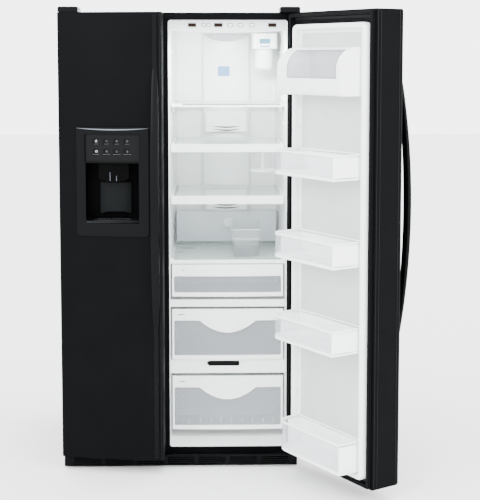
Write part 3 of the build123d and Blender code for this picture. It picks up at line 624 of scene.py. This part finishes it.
def symbol(name, shape, centre, depth, material):
    """A plain symbol on a pad: bars, ring, drop or cube."""
    x, z = centre
    if shape == "bars":
        for number in range(3):
            bar_z = z + (number - 1) * SYMBOL_SIZE * 0.7
            bar = [(end, depth, bar_z) for end in around(x, SYMBOL_SIZE)]
            wire(f"{name}_{number}", bar, SYMBOL_WIRE, material, "freezer_door")
        return
    if shape == "ring":
        outline = arc(centre, SYMBOL_SIZE, range(0, 361, 24))
    elif shape == "drop":
        tip = [(x, z + SYMBOL_SIZE * 1.3)]
        outline = tip + arc((x, z - SYMBOL_SIZE * 0.3), SYMBOL_SIZE * 0.8, range(30, -211, -24)) + tip
    else:
        half = SYMBOL_SIZE * 0.8
        corners = ((-1, -1), (1, -1), (1, 1), (-1, 1), (-1, -1))
        outline = [(x + half * u, z + half * v) for u, v in corners]
    wire(name, upright(outline, depth), SYMBOL_WIRE, material, "freezer_door")


for row, pad_z in enumerate(PAD_Z):
    for column, pad_x in enumerate(PAD_X):
        number = row * len(PAD_X) + column
        pad_y = face_y(pad_x, -0.001)
        print_y = pad_y - 0.0012
        plate(f"pad_{number}", around(pad_x, PAD_HALF[0]), around(pad_z, PAD_HALF[1]),
              (pad_y + 0.002, pad_y - 0.0008), BLACK_TRIM, "freezer_door", radius=0.004, bevel=0.0004)
        mark = LIGHT_MARK if column else LIT_MARK
        symbol(f"pad_symbol_{number}", SYMBOLS[row][column], (pad_x, pad_z + 0.003), print_y, mark)
        bar = [(end, print_y, pad_z - 0.008) for end in around(pad_x, BAR_HALF[row])]
        wire(f"pad_bar_{number}", bar, 0.0006, LIGHT_MARK, "freezer_door")

# the black lining of the recess: thin sheets just inside the pocket, darker than the bezel as painted shade
RECESS_X = onward(box("drip_tray")[0].x, 0.198)
RECESS_Y = (-0.102, -0.019)
RECESS_Z = (0.960, 1.182)
recess_walls = (
    ("back", RECESS_X, (-0.0186, -0.0182), RECESS_Z),
    ("left", (RECESS_X[0] - 0.0006, RECESS_X[0] - 0.0002), RECESS_Y, RECESS_Z),
    ("right", (RECESS_X[1] + 0.0002, RECESS_X[1] + 0.0006), RECESS_Y, RECESS_Z),
    ("roof", RECESS_X, RECESS_Y, (1.1824, 1.1828)),
)
for side, x, y, z in recess_walls:
    slab(f"recess_{side}", x, y, z, RECESS, "freezer_door", radius=0.0001, bevel=0)

# the funnel of the ice chute, rounded below, with a painted highlight line on each spout
funnel_outline = [(-0.302, 1.182), (-0.188, 1.182), (-0.188, 1.130)]
funnel_outline += [(-0.190 - 0.110 * share, 1.120 - 0.012 * swell(share)) for share in shares(8)]
funnel_outline.append((-0.302, 1.130))
funnel = [upright(funnel_outline, depth) for depth in (-0.093, -0.060)]
loft("ice_funnel", funnel, RECESS, "freezer_door", bevel=0.002)
for number, (spout_x, highlight_top) in enumerate(((-0.259, 1.146), (-0.235, 1.133))):
    shine = [(spout_x, -0.0940, height) for height in (1.114, highlight_top)]
    wire(f"spout_highlight_{number}", shine, 0.0010, PAINTED_HIGHLIGHT, "freezer_door")

# the curved plate a glass is pushed against, which stops below the spouts
cradle = []
for share in shares(12):
    plate_y = onward(-0.0405 - 0.0085 * swell(share), 0.0015)
    cradle.append(section(-0.300 + 0.116 * share, plate_y, (0.986 + 0.010 * swell(share), 1.103)))
loft("paddle_cradle", cradle, PADDLE_GREY, "dispenser_paddle")

# painted highlight lines across the drip tray, lighter grey than the tray: half length, depth, height over
# the tray's top and bow
TRAY_TOP = box("drip_tray")[1].z
TRAY_MIDDLE = -0.249
TRAY_HIGHLIGHTS = ((0.062, -0.060, 0.0008, 0), (0.068, -0.092, 0.0008, 0.010), (0.096, -0.106, -0.004, 0.010))
for number, (half, depth, rise, bow) in enumerate(TRAY_HIGHLIGHTS):
    span = around(TRAY_MIDDLE, half)
    line = [(between(span, share), depth - bow * swell(share), TRAY_TOP + rise) for share in shares(16)]
    wire(f"tray_highlight_{number}", line, 0.0009, LIGHT_AND_SHADE_GREY, "freezer_door")


# ================================================================ control panel
PANEL_FRONT = box("control_panel")[0].y
DISPLAYS = ((0.031, 0.062), (0.130, 0.162), (0.336, 0.367))
BUTTONS = ((0.082, 0.099), (0.101, 0.117), (0.180, 0.203), (0.219, 0.242), (0.262, 0.285))


def on_panel(name, x, z, material, radius, proud):
    """A display, a button or its rim, a little proud of the control panel."""
    y = (PANEL_FRONT + 0.001, PANEL_FRONT - proud)
    plate(name, x, z, y, material, "cabinet", radius=radius, bevel=0.0004)


for number, x in enumerate(DISPLAYS):
    on_panel(f"display_rim_{number}", inset(x, -0.003), (1.686, 1.706), PALE_GREY, 0.004, 0.0010)
    on_panel(f"display_{number}", x, (1.689, 1.703), BROWN_GLASS, 0.003, 0.0018)
for number, x in enumerate(BUTTONS):
    on_panel(f"button_rim_{number}", x, (1.688, 1.704), BUTTON_RIM, 0.007, 0.0010)
    on_panel(f"button_{number}", inset(x, 0.0022), (1.6902, 1.7018), WHITE_TRIM, 0.006, 0.0018)


# ================================================================ back of the fresh food cabin
tower_low, tower_high = box("air_tower")
TOWER_FRONT = tower_low.y

# the lamp's shield: straight above, bowed below, grey as painted shade under the control panel
SHIELD_X = inset((tower_low.x, tower_high.x), 0.004)
shield_edge = [(between(SHIELD_X, share), 1.6715) for share in shares(12)]
shield_bow = [(between(SHIELD_X, share), 1.668 - 0.026 * swell(share)) for share in shares(12)]
shield_outline = shield_edge + list(reversed(shield_bow))
shield = [upright(shield_outline, depth) for depth in (TOWER_FRONT - 0.030, TOWER_FRONT + 0.004)]
loft("lamp_shield_painted_shade", shield, SHIELD, "cabinet", bevel=0.001)

# air ducts, each with two bowed slots drawn as dark grey marks of painted shade
DUCT_X = (0.090, 0.272)
DUCT_MIDDLE = 0.181
SLOT_X = around(DUCT_MIDDLE, 0.058)
for number, duct_z in enumerate((1.276, 0.942)):
    slab(f"duct_box_{number}", DUCT_X, (TOWER_FRONT - 0.016, TOWER_FRONT + 0.006),
         (duct_z - 0.018, duct_z + 0.070), WHITE_TRIM, "cabinet", radius=0.012, bevel=0.006)
    for slot_number in range(2):
        slot = []
        for share in shares(16):
            slot_z = duct_z + 0.006 - 0.013 * slot_number - 0.005 * swell(share)
            half = 0.0003 + 0.0026 * swell(share)
            slot_y = onward(TOWER_FRONT - 0.0166, 0.001)
            slot.append(section(between(SLOT_X, share), slot_y, around(slot_z, half)))
        loft(f"duct_slot_shade_{number}_{slot_number}", slot, LIGHT_AND_SHADE_GREY, "cabinet")


def sticker(name, x, z, front, material, radius):
    """A plain label on a face of the cabin's fittings."""
    plate(name, x, z, (front + 0.0005, front - 0.0008), material, "cabinet", radius=radius, bevel=0.0002)


HOUSING_FRONT = box("filter_housing")[0].y
sticker("care_label", (0.146, 0.196), (1.494, 1.536), TOWER_FRONT, PALE_BLUE, 0.004)
sticker("filter_label", (0.318, 0.362), (1.630, 1.650), HOUSING_FRONT, TEAL_PRINT, 0.003)
sticker("filter_label_bar", (0.320, 0.360), (1.6165, 1.6205), HOUSING_FRONT, NAVY_PRINT, 0.001)

CABIN_X = [corner.x for corner in box("fresh_liner")]
# the back cover is grey-blue as painted shade at the back of the cabin, behind the knob
slab("back_cover", inset(CABIN_X, 0.012), (0.5693, 0.6095), (0.782, 0.915), BACK_SHADE_GREY, "cabinet",
     radius=0.006, bevel=0.002)

# moulded rails in the side walls that carry shelves and drawers
RAIL_SPACING = 0.095
wall_left, wall_right = inset(CABIN_X, 0.002)
for side, rail_x in (("left", onward(wall_left, 0.0035)), ("right", (wall_right - 0.0035, wall_right))):
    for number in range(9):
        rail_z = onward(0.83 + RAIL_SPACING * number, 0.010)
        slab(f"wall_rail_{side}_{number}", rail_x, (0.170, 0.600), rail_z, WHITE, "cabinet",
             radius=0.0015, bevel=0.0012)

# green cut edges of the shelf glass: height, depth and left end
for number, (edge_z, edge_y, edge_x) in enumerate(((1.3892, 0.1994, 0.004), (0.7772, 0.1494, -0.030))):
    cut_y, cut_z = (edge_y - 0.0012, edge_y + 0.002), (edge_z - 0.0022, edge_z + 0.0014)
    slab(f"glass_edge_{number}", (edge_x, 0.394), cut_y, cut_z, GLASS_EDGE, "cabinet",
         radius=0.0008, bevel=0.0004)

# ---------------------------------------------------------------- egg tray
egg_low, egg_high = box("egg_tray")
EGG_CENTRE = ((egg_low.x + egg_high.x) / 2, (egg_low.y + egg_high.y) / 2)
egg_outer = rounded_rectangle(egg_high.x - egg_low.x - 0.002, egg_high.y - egg_low.y - 0.002, 0.010)
egg_inner = [(u * 0.965, v * 0.985) for u, v in egg_outer]


def tapered(outline):
    """An outline of the egg tray at its foot, which is smaller than its mouth."""
    return [(u * 0.9, v * 0.96) for u, v in outline]


egg_rings = [
    level(tapered(egg_inner), egg_low.z + 0.004, EGG_CENTRE),
    level(egg_inner, egg_high.z, EGG_CENTRE),
    level(egg_outer, egg_high.z, EGG_CENTRE),
    level(tapered(egg_outer), egg_low.z + 0.001, EGG_CENTRE),
]
eggs = loft("egg_holder", egg_rings, CLEAR_THIN, "cabinet")
for height, scale in ((egg_high.z - 0.002, 1.0), (egg_low.z + 0.070, 0.975)):
    loop = [(u * scale, v * scale) for u, v in egg_outer + egg_outer[:1]]
    wire(f"egg_rim_{round(height * 1000)}", level(loop, height, EGG_CENTRE), 0.0012, FROSTED, "cabinet")
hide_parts("egg_tray")

# ---------------------------------------------------------------- drawers
GRIP_X = (0.074, 0.290)
for drawer, front_top in (("crisper", 0.578), ("lower", 0.307)):
    grip_top = front_top - 0.0465
    grip = [(between(GRIP_X, share), 0.1335, grip_top - 0.046 * swell(share)) for share in shares(20)]
    wire(f"{drawer}_grip_bead", grip, 0.0022, WHITE_TRIM, f"{drawer}_drawer")
for number in range(9):
    rib_x = 0.030 + 0.042 * number
    rib = [(rib_x, 0.160, height) for height in (0.110, 0.128)]
    wire(f"rack_rib_{number}", rib, 0.0020, FROSTED, "lower_drawer")

plate("slider_slot", (0.104, 0.228), (0.3450, 0.3655), (0.1512, 0.1496), BLACK_TRIM, "cabinet",
      radius=0.003, bevel=0.0003)
MARKS = (("deli_drawer", 0.735, 0.000), ("crisper_drawer", 0.556, -0.016), ("lower_drawer", 0.285, -0.010))
for number, (drawer, mark_z, mark_x) in enumerate(MARKS):
    plate(f"drawer_mark_{number}", onward(mark_x, 0.050), around(mark_z, 0.0015), (0.1385, 0.1368),
          NAVY_PRINT, drawer, radius=0.001, bevel=0.0002)


# ================================================================ sill and screws of the case
CIRCLE = range(0, 360, 24)
HINGE_SCREW_X = 0.414
BACK_SCREW_X = 0.440
BACK_SCREW_SPACING = 0.148
slab("case_front_sill", around(0, 0.4524), (0.0012, 0.0076), (0.0284, 0.0346), BLACK_PAINT, "cabinet",
     radius=0.001)
for side in (-1, 1):
    for number, screw_y in enumerate((-0.030, 0.018)):
        centre = (side * HINGE_SCREW_X, screw_y)
        domed = ((1.7606, 0.0048), (1.7618, 0.0044), (1.76195, 0.002))
        head = [level(arc(centre, radius, CIRCLE), height) for height, radius in domed]
        loft(f"hinge_screw_{side + 1}_{number}", head, ZINC, "cabinet")
for number in range(10):
    for side in (-1, 1):
        centre = (side * BACK_SCREW_X, 0.34 + BACK_SCREW_SPACING * number)
        domed = ((0.6998, 0.0050), (0.7012, 0.0046), (0.7018, 0.002))
        head = [upright(arc(centre, radius, CIRCLE), depth) for depth, radius in domed]
        loft(f"back_screw_{side + 1}_{number}", head, ZINC, "cabinet")


# ================================================================ studio
def area_light(name, place, target, size, power):
    """A soft rectangular lamp aimed at a target."""
    data = bpy.data.lights.new(name, "AREA")
    data.shape = "RECTANGLE"
    data.size, data.size_y = size
    data.energy = power
    lamp = bpy.data.objects.new(name, data)
    bpy.context.scene.collection.objects.link(lamp)
    lamp.location = TO_FRAME @ Vector(place)
    lamp.rotation_euler = (Vector(target) - Vector(place)).to_track_quat("-Z", "Y").to_euler()


bpy.ops.mesh.primitive_plane_add(size=40, location=(0, 0, -0.0005))
floor = bpy.context.object
floor.name = "studio_floor"
floor.data.materials.append(surface("studio_floor", (0.80, 0.80, 0.80), 0.7, grain=(40, 0.02), mottle=0.01))

world = bpy.data.worlds.new("studio")
bpy.context.scene.world = world
world.use_nodes = True
sky = world.node_tree.nodes["Background"]
sky.inputs["Color"].default_value = (0.97, 0.98, 1.0, 1)
sky.inputs["Strength"].default_value = 5.2

area_light("key", (-2.2, -4.0, 3.2), (0.1, 0, 0.9), (2.0, 2.0), 200)
area_light("fill", (3.0, -3.2, 1.8), (0.3, 0, 0.9), (2.0, 2.4), 110)
area_light("cabin_lamp", (0.182, 0.10, 1.665), (0.182, 0.34, 0.9), (0.30, 0.08), 14.0)

CAMERA_PLACE = Vector((0.1313, -4.5473, 1.5728))
CAMERA_YAW = 1.218
CAMERA_PITCH = -5.13
camera_data = bpy.data.cameras.new("photo_camera")
camera_data.lens = 86.18
camera_data.sensor_width = 36
camera_data.shift_y = -0.17
camera_data.clip_end = 100
camera = bpy.data.objects.new("photo_camera", camera_data)
bpy.context.scene.collection.objects.link(camera)
camera.location = TO_FRAME @ CAMERA_PLACE
camera.rotation_euler = (math.radians(90 + CAMERA_PITCH), 0, -math.radians(CAMERA_YAW))
bpy.context.scene.camera = camera
